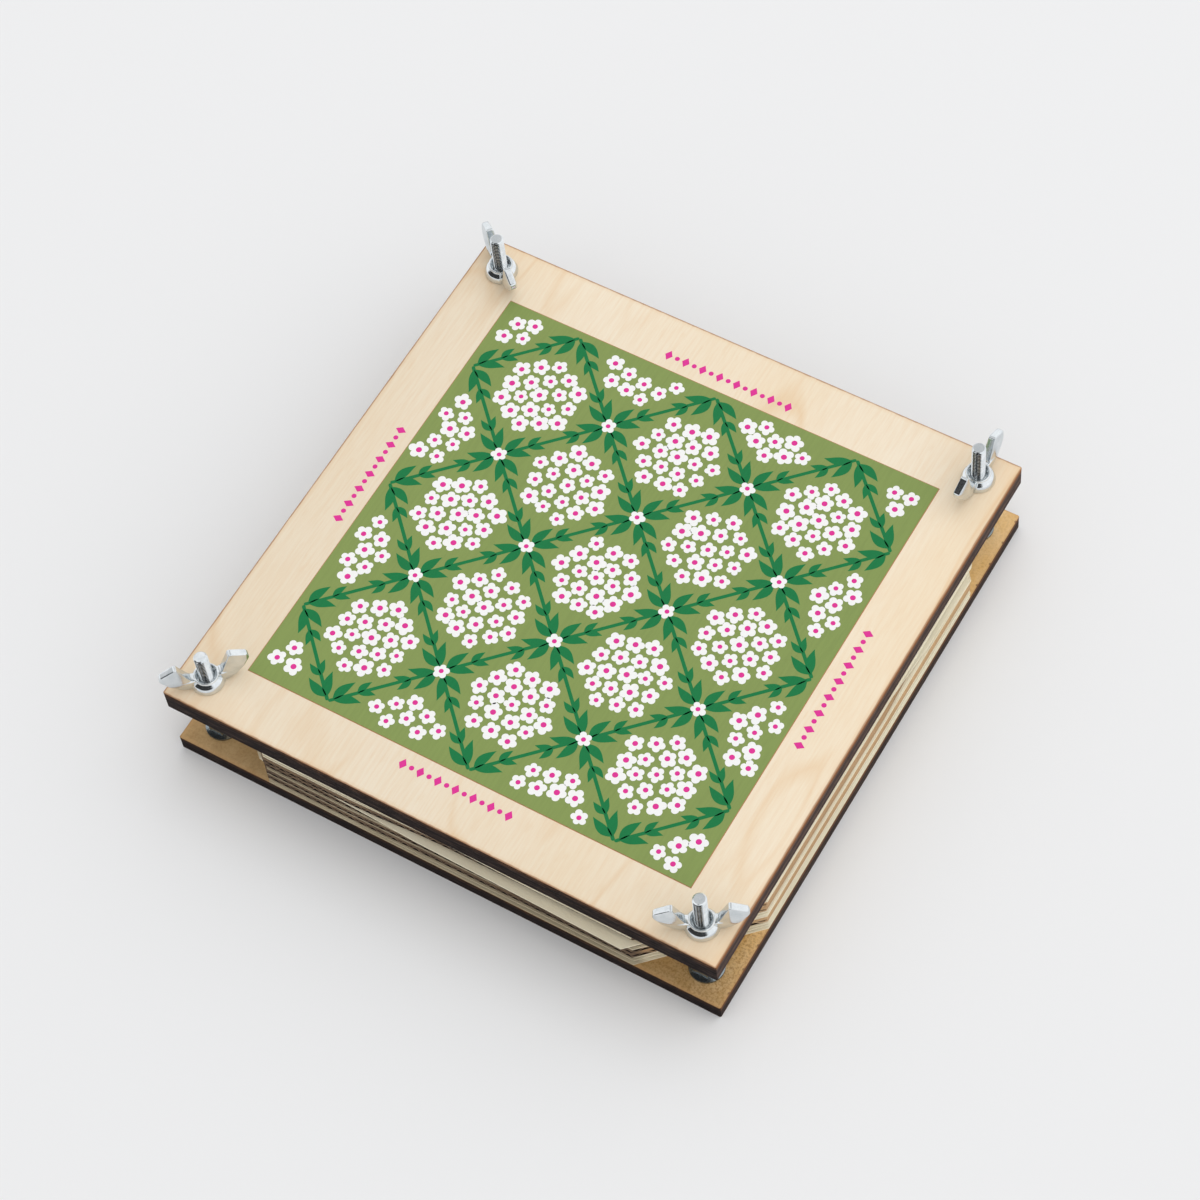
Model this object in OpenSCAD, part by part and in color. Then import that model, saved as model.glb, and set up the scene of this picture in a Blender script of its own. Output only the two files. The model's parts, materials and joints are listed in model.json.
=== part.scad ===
// Flower press: two square plywood boards, four bolts with wing nuts, and a pack of
// blotting sheets and corrugated cards between them.
// Z is up, the press stands on the underside of its bottom board, and the front is the -Y side.

/* [Boards] */
// Side of the two square boards
board_side = 170; // [140:1:220]
// Corner radius of the boards
board_corner_r = 0.5; // [0.3:0.1:4]
// Thickness of the top board
top_board_t = 7.4; // [4:0.1:12]
// Thickness of the bottom board
bottom_board_t = 5.4; // [4:0.1:10]
// Distance from each bolt to the two nearest edges
bolt_inset = 8.9; // [8:0.1:14]

/* [Print] */
// Side of the square colour print on the top board
print_side = 136.5; // [90:0.5:150]
// Thickness of the ink film
print_t = 0.12; // [0.08:0.02:0.3]

/* [Bolts] */
// Outside diameter of the bolt thread
bolt_d = 3.9; // [3:0.1:5]
// Length of a bolt with its countersunk head
bolt_l = 45.4; // [42:0.1:60]
// How much shorter the front left bolt is
short_bolt_drop = 2.5; // [0:0.1:4]
// Chamfer at the bolt tips
bolt_chamfer = 0.45; // [0.2:0.05:0.8]
// Diameter of the countersunk bolt heads
head_d = 7.6; // [6:0.1:9]
// How deep the bolt heads lie in the underside
head_sink = 0.1; // [0:0.05:0.5]
// Length of the cross recess in a bolt head
recess_l = 4; // [3:0.1:5]
// Width of the cross recess in a bolt head
recess_w = 0.9; // [0.6:0.1:1.2]
// Depth of the cross recess in a bolt head
recess_depth = 1.3; // [0.8:0.1:1.6]

/* [Flange nuts] */
// Width of the hexagon across its flats
nut_af = 7; // [6.6:0.1:9]
// Height of the whole nut
nut_h = 4.4; // [3.5:0.1:6]
// Diameter of the flange
nut_flange_d = 9.8; // [9.4:0.1:13]
// Thickness of the flange's rim
nut_rim_t = 0.7; // [0.4:0.1:1.2]

/* [Wing nuts] */
// Diameter of the hub's foot
hub_foot_d = 9.6; // [8.4:0.1:14]
// Height of the straight rim of the foot
hub_rim_t = 0.7; // [0.4:0.1:1.2]
// Diameter of the ring at the top of the hub
hub_ring_d = 7.2; // [6.4:0.1:8.2]
// Height of the hub
hub_h = 3.8; // [3:0.1:4.6]
// Height of the peak of each wing
wing_h = 10.9; // [9:0.1:14]
// Distance from the axis to the end of each wing
wing_reach = 12.5; // [11.5:0.1:16]
// Distance from the axis to the peak of each wing
wing_peak_r = 8.5; // [7:0.1:9.5]
// Thickness of each wing
wing_t = 2; // [1.4:0.1:2.8]

/* [Pack] */
// How much shorter a leaf is than the boards at each end
leaf_inset = 2; // [1:0.1:4]
// How far the pack is pushed to the right and to the front, up to the boards' edges
pack_push = 1.9; // [0:0.1:2]
// Clearance between a centred leaf's cut corners and the flange nuts
leaf_nut_gap = 3.7; // [3.2:0.1:8]
// Thickness of a blotting sheet
sheet_t = 0.78; // [0.4:0.01:1.2]
// Thickness of a corrugated card
card_t = 1.62; // [1.2:0.01:3]
// Distance between the waves of a corrugated card
flute_pitch = 3.45; // [2.4:0.05:6]
// Thickness of a card's two facings
liner_t = 0.25; // [0.15:0.01:0.4]
// Thickness of a card's wavy middle
wave_t = 0.2; // [0.12:0.01:0.3]
// Furthest that a leaf lies out of line with the rest of the pack
leaf_shift = 1.3; // [0:0.1:1.6]
// Largest angle by which a leaf is turned in the pack
leaf_turn = 1; // [0:0.1:1.4]

/* [Clearances] */
// Running clearance round the bolts in the wing nuts
thread_gap = 0.05; // [0.03:0.01:0.1]
// Clearance round the bolts in the fixed nuts and the bottom board
fixed_gap = 0.05; // [0.02:0.01:0.1]
// Clearance round the bolts in the top board
slide_gap = 0.4; // [0.2:0.05:0.6]

/* [Hidden] */
$fn = 64;
corners = ["front_left", "front_right", "back_right", "back_left"];
sheet_groups = ["bottom_sheet", "lower_sheet", "middle_sheet", "upper_sheet", "top_sheet"];
sheets_per_group = [4, 2, 2, 2, 4];
cards = ["card_1", "card_2", "card_3", "card_4"];
sheet_nodes = [for (g = [0:4]) for (i = [1:sheets_per_group[g]]) str(sheet_groups[g], "_", i)];

// Direction of each corner from the middle of the boards
corner_signs = [[-1, -1], [1, -1], [1, 1], [-1, 1]];
// How each wing nut came to rest, turned from the front edge
wing_angles = [47, 31, 87.5, 141];
// How far each leaf, from the bottom up, is pushed along X and Y and turned, as shares of the
// largest shift and turn
leaf_x_shares = [0.04, -0.04, 0, -0.15, -0.08, -0.46, -0.58, -0.04, 0.08, -0.08, 0.08, -0.38, 0, -0.04, -0.08, -0.15, 0, -0.08];
leaf_y_shares = [-0.04, 0.08, 0.12, 0.23, 0.15, 0.27, 0.15, 0.12, 0.12, 0.19, 0.15, 0.23, -1, 0.12, 0.46, 0.54, 0.5, 0.62];
leaf_turn_shares = [0, 0.05, -0.05, 0.1, -0.05, 0.1, -0.1, 0.05, 0, 0.1, -0.1, -0.3, -1, 0.1, 0, -0.1, 0.05, 0];

bolt_at = board_side / 2 - bolt_inset;
sheet_count = len(sheet_nodes);
pack_t = sheet_count * sheet_t + len(cards) * card_t;
top_board_z = bottom_board_t + pack_t;
top_face_z = top_board_z + top_board_t;

leaf_side = board_side - 2 * leaf_inset;
leaf_cut_gap = nut_flange_d / 2 + leaf_nut_gap;
leaf_leg = leaf_cut_gap * sqrt(2) + 2 * (leaf_side / 2 - bolt_at);

flute_count = floor(leaf_side / flute_pitch / 2);
nut_cone_h = (nut_flange_d - nut_af) / 4;
nut_chamfer = (nut_af / cos(30) - nut_af) / 2;
mouth_chamfer = (hub_ring_d - bolt_d) / 5;
// The wing's foot, root and end, from the hub's and the wing's own sizes
wing_base_z = hub_rim_t / 2;
wing_root_r = (bolt_d / 2 + hub_ring_d / 2) / 2;
wing_foot_r = hub_foot_d / 2 + wing_t * 0.75;
wing_end_low_z = wing_h * 0.62;
wing_end_high_z = wing_h * 0.78;
wing_ear_z = hub_h + wing_t * 0.75;
corner_steps = 6;
countersink_r = head_d / 2 + head_sink + fixed_gap * sqrt(2);
cut_over = bolt_d;

// Points of the closed outline with each corner rounded by an arc of its own radius
function rounded(points, radii) = [
    for (i = [0:len(points) - 1])
        let (
            n = len(points),
            here = points[i],
            to_last = unit(points[(i + n - 1) % n] - here),
            to_next = unit(points[(i + 1) % n] - here),
            half = acos(to_last * to_next) / 2,
            r = radii[i],
            middle = here + unit(to_last + to_next) * r / sin(half),
            turn = cross(to_last, to_next) < 0 ? 1 : -1,
            start = middle - here + to_last * -r / tan(half)
        )
        for (k = [0:r > 0 ? corner_steps : 0])
            r > 0
                ? middle - spun(start, turn * k / corner_steps * (180 - 2 * half))
                : here
];
function unit(v) = v / norm(v);
function spun(v, a) = [v[0] * cos(a) - v[1] * sin(a), v[0] * sin(a) + v[1] * cos(a)];

module at_corner(i) {
    translate([corner_signs[i][0] * bolt_at, corner_signs[i][1] * bolt_at])
        children();
}

module rounded_square(side, r) {
    inner = side - 2 * r;
    square([side, inner], center = true);
    square([inner, side], center = true);
    for (x = [-1, 1])
        for (y = [-1, 1])
            translate([x * inner / 2, y * inner / 2])
                circle(r);
}

module bottom_board() {
    color("#c79a5e")
        difference() {
            linear_extrude(bottom_board_t)
                rounded_square(board_side, board_corner_r);
            for (i = [0:3])
                at_corner(i)
                    translate([0, 0, -cut_over]) {
                        cylinder(d = bolt_d + 2 * fixed_gap, h = bottom_board_t + 2 * cut_over);
                        cylinder(r1 = countersink_r + cut_over, r2 = 0, h = countersink_r + cut_over);
                    }
        }
}

module top_board() {
    color("#ecd2a6")
        difference() {
            translate([0, 0, top_board_z])
                linear_extrude(top_board_t)
                    rounded_square(board_side, board_corner_r);
            for (i = [0:3])
                at_corner(i)
                    translate([0, 0, top_board_z - cut_over])
                        cylinder(d = bolt_d + 2 * slide_gap, h = top_board_t + 2 * cut_over);
        }
}

// The ink film that carries the printed pattern
module print_panel() {
    color("#869a54")
        translate([0, 0, top_face_z])
            linear_extrude(print_t)
                square(print_side, center = true);
}

// Countersunk head with a cross recess, lying flush in the underside, and threaded shank
module bolt(i) {
    length = bolt_l - (i == 0 ? short_bolt_drop : 0);
    shank_r = bolt_d / 2;
    color("#c3c7ca")
        at_corner(i)
            translate([0, 0, head_sink])
                difference() {
                    rotate_extrude()
                        polygon([
                            [0, 0], [head_d / 2, 0], [shank_r, head_d / 2 - shank_r],
                            [shank_r, length - bolt_chamfer], [shank_r - bolt_chamfer, length],
                            [0, length]
                        ]);
                    for (turn = [0, 90])
                        rotate(turn)
                            cube([recess_l, recess_w, 2 * recess_depth], center = true);
                }
}

// Hexagon nut with a round flange, tightened on the bottom board
module flange_nut(i) {
    hole_r = bolt_d / 2 + fixed_gap;
    flange_r = nut_flange_d / 2;
    hex_r = nut_af / cos(30) / 2;
    color("#b9bdc0")
        at_corner(i)
            translate([0, 0, bottom_board_t])
                difference() {
                    union() {
                        rotate_extrude()
                            polygon([
                                [0, 0], [flange_r, 0], [flange_r, nut_rim_t],
                                [nut_af / 2, nut_rim_t + nut_cone_h], [0, nut_rim_t + nut_cone_h]
                            ]);
                        intersection() {
                            cylinder(d = nut_af / cos(30), h = nut_h, $fn = 6);
                            rotate_extrude()
                                polygon([
                                    [0, 0], [hex_r + nut_chamfer, 0],
                                    [hex_r + nut_chamfer, nut_h - 2 * nut_chamfer],
                                    [hex_r - nut_chamfer, nut_h], [0, nut_h]
                                ]);
                        }
                    }
                    translate([0, 0, -cut_over])
                        cylinder(r = hole_r, h = nut_h + 2 * cut_over);
                }
}

// One wing, seen from its side: it leaves the foot, sweeps out and up to its end, and
// falls from its peak back to the ring
module wing_outline() {
    points = [
        [wing_root_r, wing_base_z], [wing_foot_r, wing_base_z],
        [wing_reach, wing_end_low_z], [wing_reach, wing_end_high_z],
        [wing_peak_r, wing_h], [hub_ring_d / 2, wing_ear_z], [wing_root_r, hub_h]
    ];
    radii = [0, wing_t, wing_t * 0.6, wing_t * 0.4, wing_t * 0.45, wing_t * 0.3, 0];
    polygon(rounded(points, radii));
}

module wing_nut(i) {
    ring_r = hub_ring_d / 2;
    hole_r = bolt_d / 2 + thread_gap;
    color("#d3d8db")
        at_corner(i)
            translate([0, 0, top_face_z])
                rotate(wing_angles[i])
                    difference() {
                        union() {
                            rotate_extrude()
                                polygon([
                                    [0, 0], [hub_foot_d / 2, 0], [hub_foot_d / 2, hub_rim_t],
                                    [ring_r, hub_h - mouth_chamfer / 2],
                                    [ring_r - mouth_chamfer / 2, hub_h], [0, hub_h]
                                ]);
                            for (side = [0, 180])
                                rotate(side)
                                    translate([0, wing_t / 2])
                                        rotate([90, 0, 0])
                                            linear_extrude(wing_t)
                                                wing_outline();
                        }
                        translate([0, 0, -cut_over])
                            cylinder(r = hole_r, h = wing_h + 2 * cut_over);
                        translate([0, 0, hub_h - mouth_chamfer])
                            cylinder(r1 = hole_r, r2 = hole_r + mouth_chamfer, h = mouth_chamfer);
                    }
}

// Square leaf with its four corners cut off to pass the bolts
module leaf_shape() {
    h = leaf_side / 2;
    polygon([
        [h - leaf_leg, -h], [h, leaf_leg - h], [h, h - leaf_leg], [h - leaf_leg, h],
        [leaf_leg - h, h], [-h, h - leaf_leg], [-h, leaf_leg - h], [leaf_leg - h, -h]
    ]);
}

// Places a leaf by its number from the bottom of the pack and the height under it
module lay_leaf(k, z) {
    push = [pack_push, -pack_push] + [leaf_x_shares[k], leaf_y_shares[k]] * leaf_shift;
    translate([push[0], push[1], bottom_board_t + z])
        rotate(leaf_turn_shares[k] * leaf_turn)
            children();
}

// Number of sheets that lie under a given sheet group and its cards
function sheets_below(g) = g == 0 ? 0 : sheets_per_group[g - 1] + sheets_below(g - 1);

module sheet(g, i) {
    n = sheets_below(g) + i - 1;
    color(i % 2 == 0 ? "#e6dcc0" : "#efe7d0")
        lay_leaf(n + g, n * sheet_t + g * card_t)
            linear_extrude(sheet_t)
                leaf_shape();
}

// Section of a corrugated card: two facings and the zigzag between them
module card_section() {
    low = liner_t;
    high = card_t - liner_t;
    half_open = flute_pitch / 2 - wave_t;
    difference() {
        translate([-leaf_side / 2, 0])
            square([leaf_side, card_t]);
        for (k = [-flute_count:flute_count])
            translate([k * flute_pitch, 0]) {
                polygon([[-half_open, low], [half_open, low], [0, high - wave_t]]);
                translate([flute_pitch / 2, 0])
                    polygon([[-half_open, high], [half_open, high], [0, low + wave_t]]);
            }
    }
}

module card(g) {
    n = sheets_below(g);
    color("#b48a5e")
        lay_leaf(n + g - 1, n * sheet_t + (g - 1) * card_t)
            intersection() {
                linear_extrude(card_t)
                    leaf_shape();
                translate([0, leaf_side / 2])
                    rotate([90, 0, 0])
                        linear_extrude(leaf_side)
                            card_section();
            }
}

bottom_board();
top_board();
print_panel();
for (i = [0:3]) {
    bolt(i);
    flange_nut(i);
    wing_nut(i);
    card(i + 1);
}
for (g = [0:4])
    for (i = [1:sheets_per_group[g]])
        sheet(g, i);
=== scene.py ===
"""Flower press: two laser-cut plywood boards, four screws with flange nuts and wing nuts, and a
pack of blotting sheets and corrugated cards between them. The upper board carries a printed
trellis of rosettes and leaves, and a row of small ornaments on each margin.

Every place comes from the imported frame. Lengths are in metres, and MM turns millimetres into them.
"""
import json
import math

import bmesh
import bpy
import numpy as np
from mathutils import Matrix, Vector
from mathutils.geometry import delaunay_2d_cdt


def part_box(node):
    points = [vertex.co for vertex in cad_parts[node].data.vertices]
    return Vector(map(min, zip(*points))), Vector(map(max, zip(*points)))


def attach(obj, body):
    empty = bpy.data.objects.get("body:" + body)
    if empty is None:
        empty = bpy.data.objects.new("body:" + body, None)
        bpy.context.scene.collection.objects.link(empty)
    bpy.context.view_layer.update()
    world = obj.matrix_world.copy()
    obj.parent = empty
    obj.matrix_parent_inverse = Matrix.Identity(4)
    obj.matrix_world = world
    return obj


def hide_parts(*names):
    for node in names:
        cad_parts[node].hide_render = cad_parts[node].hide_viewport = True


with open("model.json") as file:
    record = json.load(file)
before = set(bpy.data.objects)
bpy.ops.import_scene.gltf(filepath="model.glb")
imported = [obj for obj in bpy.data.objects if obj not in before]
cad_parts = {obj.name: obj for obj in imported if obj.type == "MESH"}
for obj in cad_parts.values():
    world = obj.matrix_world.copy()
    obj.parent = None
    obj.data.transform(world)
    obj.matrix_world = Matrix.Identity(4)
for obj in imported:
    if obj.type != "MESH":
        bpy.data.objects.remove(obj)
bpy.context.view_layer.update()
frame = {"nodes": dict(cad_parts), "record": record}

MM = 0.001
CORNERS = ("front_left", "front_right", "back_right", "back_left")
BODY_OF = {node: body for body, nodes in frame["record"]["behaviour"]["bodies"].items() for node in nodes}

top_low, top_high = (np.array(v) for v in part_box("top_board"))
base_low, base_high = (np.array(v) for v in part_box("bottom_board"))
print_low, print_high = (np.array(v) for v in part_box("print_panel"))
HALF_SIDE = top_high[0]
HALF_PRINT = print_high[0]
BOLT_AT = {c: np.array(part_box("bolt_" + c)).mean(0)[:2] for c in CORNERS}

# Colours as they are seen, in sRGB
BIRCH = (242, 228, 205)
BIRCH_SHADE = (238, 217, 184)
BIRCH_STREAK = (224, 182, 130)
SMOKED_BIRCH = (232, 204, 156)
SMOKED_GOLD = (218, 174, 102)
GOLD_SPECK = (162, 120, 64)
FRONT_MARGIN_DARK = (96, 74, 50)
# Colour towards which the lower board's face darkens near its front edge
SCORCH = (150, 92, 54)
SINGED = (168, 112, 68)
CHAR = (56, 44, 42)
CHAR_LIGHT = (112, 92, 82)
DEEP_CHAR = (24, 18, 17)
# Painted shade for the boards' front sides
PAINTED_FRONT_SHADE = (20, 13, 14)
OLIVE = (134, 152, 84)
LEAF_GREEN = (0, 119, 63)
PETAL_WHITE = (246, 246, 244)
MAGENTA = (226, 50, 150)
PRINT_EDGE = (196, 132, 96)
PAPER = (245, 238, 214)
PAPER_SHADE = (231, 219, 190)
# Painted shade for the sheets' front edges
PAPER_FRONT_SHADE = (172, 158, 130)
KRAFT = (214, 182, 144)
KRAFT_SHADE = (192, 158, 120)
# Painted shade for the cards' front edges
KRAFT_FRONT_SHADE = (104, 90, 82)
# Painted shade inside the cards' flutes
FLUTE_PAINTED_SHADE = (36, 29, 26)
ZINC = (222, 226, 228)
ZINC_CLOUD = (188, 197, 201)
# Painted shade: darker zinc for the flange nuts, which lie in the upper board's shadow
PAINTED_SHADE_ZINC = (140, 149, 153)
PAINTED_SHADE_CLOUD = (101, 110, 115)
FLOOR = (238, 238, 238)


def linear(colour):
    """Linear RGBA of an sRGB colour in 0 to 255."""
    c = np.array(colour, float) / 255
    lin = np.where(c <= 0.04045, c / 12.92, ((c + 0.055) / 1.055) ** 2.4)
    return (*lin.tolist(), 1.0)


# Shader expressions


def as_input(colour):
    """A colour that comes from a node as it is, and a plain sRGB one as linear RGBA."""
    return colour if isinstance(colour, Value) else linear(colour)


class Value:
    """A socket of a node tree. Arithmetic on it adds Math nodes."""

    def __init__(self, tree, socket):
        self.tree, self.socket = tree, socket

    def math(self, operation, *others, clamp=False):
        node = self.tree.nodes.new("ShaderNodeMath")
        node.operation, node.use_clamp = operation, clamp
        for slot, value in zip(node.inputs, (self, *others)):
            if isinstance(value, Value):
                self.tree.links.new(value.socket, slot)
            else:
                slot.default_value = value
        return Value(self.tree, node.outputs[0])

    def flipped(self, operation, other):
        """The operation with the plain number first."""
        node = self.tree.nodes.new("ShaderNodeMath")
        node.operation = operation
        node.inputs[0].default_value = other
        self.tree.links.new(self.socket, node.inputs[1])
        return Value(self.tree, node.outputs[0])

    def __add__(self, other):
        return self.math("ADD", other)

    __radd__ = __add__

    def __mul__(self, other):
        return self.math("MULTIPLY", other)

    __rmul__ = __mul__

    def __sub__(self, other):
        return self.math("SUBTRACT", other)

    def __rsub__(self, other):
        return self.flipped("SUBTRACT", other)

    def __truediv__(self, other):
        return self.math("DIVIDE", other)

    def __pow__(self, other):
        return self.math("POWER", other)

    def __abs__(self):
        return self.math("ABSOLUTE")

    def clamp(self):
        return self.math("ADD", 0.0, clamp=True)

    def over(self, other):
        """The larger of the two."""
        return self.math("MAXIMUM", other)

    def fraction(self):
        return self.math("FRACT")

    def ramp(self, start, end):
        """0 at start and 1 at end, straight between them, whichever is larger."""
        return ((self - start) / (end - start)).clamp()


class Finish:
    """A material, or the world, with one method for every node that isn't plain arithmetic."""

    def __init__(self, tree):
        self.tree = tree
        tree.nodes.clear()

    def node(self, kind, settings=None, inputs=None, output=0):
        """Adds a node, applies its settings, fills its sockets and returns one output."""
        node = self.tree.nodes.new(kind)
        for name, value in (settings or {}).items():
            setattr(node, name, value)
        for name, value in (inputs or {}).items():
            socket = node.inputs[name]
            if isinstance(value, Value):
                self.tree.links.new(value.socket, socket)
            else:
                socket.default_value = value
        return Value(self.tree, node.outputs[output]) if node.outputs else None

    def place(self):
        """Object coordinates, as a vector and as x, y, z."""
        vector = self.node("ShaderNodeTexCoord", output="Object")
        split = self.node("ShaderNodeSeparateXYZ", inputs={0: vector})
        return vector, *(Value(self.tree, part) for part in split.socket.node.outputs)

    def noise(self, vector, scale, stretch=(1, 1, 1), detail=3.0, roughness=0.5, shift=(0, 0, 0)):
        """Fractal noise, 0 to 1, with cells of 1/scale metres, squeezed by stretch."""
        moved = self.node(
            "ShaderNodeMapping", inputs={"Vector": vector, "Scale": stretch, "Location": shift}
        )
        return self.node(
            "ShaderNodeTexNoise",
            inputs={"Vector": moved, "Scale": scale, "Detail": detail, "Roughness": roughness},
        )

    def mix(self, share, a, b):
        """Colour a, turned into colour b by share."""
        return self.node(
            "ShaderNodeMix",
            {"data_type": "RGBA"},
            {0: share, 6: as_input(a), 7: as_input(b)},
            output=2,
        )

    def surface(self, colour, roughness, bump=None, depth=0.0, metallic=0.0, specular=0.5):
        """A Principled surface. Bump is a height in 0 to 1 that is depth metres high."""
        inputs = {
            "Base Color": as_input(colour),
            "Roughness": roughness,
            "Metallic": metallic,
            "Specular IOR Level": specular,
        }
        if bump is not None:
            inputs["Normal"] = self.node(
                "ShaderNodeBump", inputs={"Strength": 1.0, "Distance": depth, "Height": bump}
            )
        shader = self.node("ShaderNodeBsdfPrincipled", inputs=inputs)
        self.node("ShaderNodeOutputMaterial", inputs={"Surface": shader})


def material(name):
    """A new material and its Finish."""
    made = bpy.data.materials.new(name)
    made.use_nodes = True
    return made, Finish(made.node_tree)


# Meshes


def grid_quads(rows, columns, wrap=False, start=0):
    """Quads of a grid of vertices stored row by row. With wrap, the last column joins the first."""
    i, j = np.meshgrid(np.arange(rows - 1), np.arange(columns - (0 if wrap else 1)), indexing="ij")
    a = i * columns + j
    b = i * columns + (j + 1) % columns
    return start + np.stack([a, b, b + columns, a + columns], -1).reshape(-1, 4)


def linked(name, data):
    """A new object in the scene."""
    made = bpy.data.objects.new(name, data)
    bpy.context.scene.collection.objects.link(made)
    return made


def finished_piece(name, mesh, work, smooth_angle):
    """Writes the edited mesh back with its normals turned outwards and its edges smooth up to
    smooth_angle degrees, and gives it an object."""
    bmesh.ops.recalc_face_normals(work, faces=work.faces)
    work.to_mesh(mesh)
    work.free()
    mesh.polygons.foreach_set("use_smooth", np.ones(len(mesh.polygons), bool))
    mesh.set_sharp_from_angle(angle=math.radians(smooth_angle))
    return linked(name, mesh)


def make_mesh(name, points, faces, smooth_angle=35.0, weld=1e-7, inside=None):
    """A mesh object at the origin from points in metres and lists of faces. Points nearer than
    weld are merged. inside is a number for each point, which the material reads."""
    mesh = bpy.data.meshes.new(name)
    face_lists = [list(map(int, f)) for part in faces for f in part]
    mesh.from_pydata(np.asarray(points).tolist(), [], face_lists)
    if inside is not None:
        marks = mesh.attributes.new("inside", "FLOAT", "POINT")
        marks.data.foreach_set("value", inside.astype(np.float32))
    work = bmesh.new()
    work.from_mesh(mesh)
    bmesh.ops.remove_doubles(work, verts=work.verts, dist=weld)
    bmesh.ops.dissolve_degenerate(work, edges=work.edges, dist=weld)
    return finished_piece(name, mesh, work, smooth_angle)


def joined(parts):
    """Points and faces of several closed shells as one."""
    points, faces, total = [], [], 0
    for p, f in parts:
        points.append(p)
        faces.append(f + total)
        total += len(p)
    return np.concatenate(points), faces


def dress(piece, finish, body, slot, *replaced):
    """Gives a piece its material and body, and hides the nodes that it stands for. slot is not used."""
    piece.data.materials.clear()
    piece.data.materials.append(finish)
    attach(piece, body)
    if replaced:
        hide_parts(*replaced)
    return piece


def rounded_outline(points, radii, steps=6):
    """Closed outline with each corner replaced by an arc of its own radius: the arc's middle lies
    on the corner's bisector, r / sin(half the corner) away from it."""
    points = np.array(points, float)
    before = np.roll(points, 1, 0) - points
    after = np.roll(points, -1, 0) - points
    before /= np.linalg.norm(before, axis=1)[:, None]
    after /= np.linalg.norm(after, axis=1)[:, None]
    half = np.arccos(np.clip((before * after).sum(1), -1, 1)) / 2
    radii = np.array(radii, float)
    bisector = before + after
    bisector /= np.linalg.norm(bisector, axis=1)[:, None]
    middle = points + bisector * (radii / np.sin(half))[:, None]
    turn = np.where(before[:, 0] * after[:, 1] - before[:, 1] * after[:, 0] < 0, 1.0, -1.0)
    start = points + before * (radii / np.tan(half))[:, None] - middle
    angle = turn[:, None] * np.linspace(0, 1, steps + 1)[None] * (np.pi - 2 * half)[:, None]
    x = start[:, :1] * np.cos(angle) - start[:, 1:] * np.sin(angle)
    y = start[:, :1] * np.sin(angle) + start[:, 1:] * np.cos(angle)
    return (np.stack([x, y], -1) + middle[:, None]).reshape(-1, 2)


def ring(centre, radius, count=40):
    """Points of a circle in the plane."""
    a = np.linspace(0, 2 * np.pi, count, endpoint=False)
    return np.array(centre) + radius * np.stack([np.cos(a), np.sin(a)], 1)


def turned(x, y, angle):
    """Places in the plane, turned about the middle."""
    c, s = np.cos(angle), np.sin(angle)
    return np.stack([x * c - y * s, x * s + y * c], -1)


def flat_fill(outlines, z, start):
    """Triangles that fill the first closed outline around the others, which are circles, at
    height z, numbered from start."""
    points = np.concatenate(outlines)
    edges, first = [], 0
    for outline in outlines:
        n = len(outline)
        edges += [(first + k, first + (k + 1) % n) for k in range(n)]
        first += n
    found = delaunay_2d_cdt([Vector(p) for p in points * 1000], edges, [], 4, 1e-6)
    flat = np.array([tuple(v) for v in found[0]]) / 1000
    fill = np.array(found[2])
    middles = flat[fill].mean(1)
    for hole in outlines[1:]:
        centre = hole.mean(0)
        r = np.linalg.norm(hole[0] - centre)
        outside = np.linalg.norm(middles - centre, axis=1) > 0.995 * r
        fill, middles = fill[outside], middles[outside]
    return np.column_stack([flat, np.full(len(flat), z)]), fill + start


# Boards

PLY_COUNT = 5
BOARD_CORNER_R = 0.5 * MM
EDGE_EASE = 0.12 * MM
PLY_RELIEF = 0.06 * MM


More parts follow.
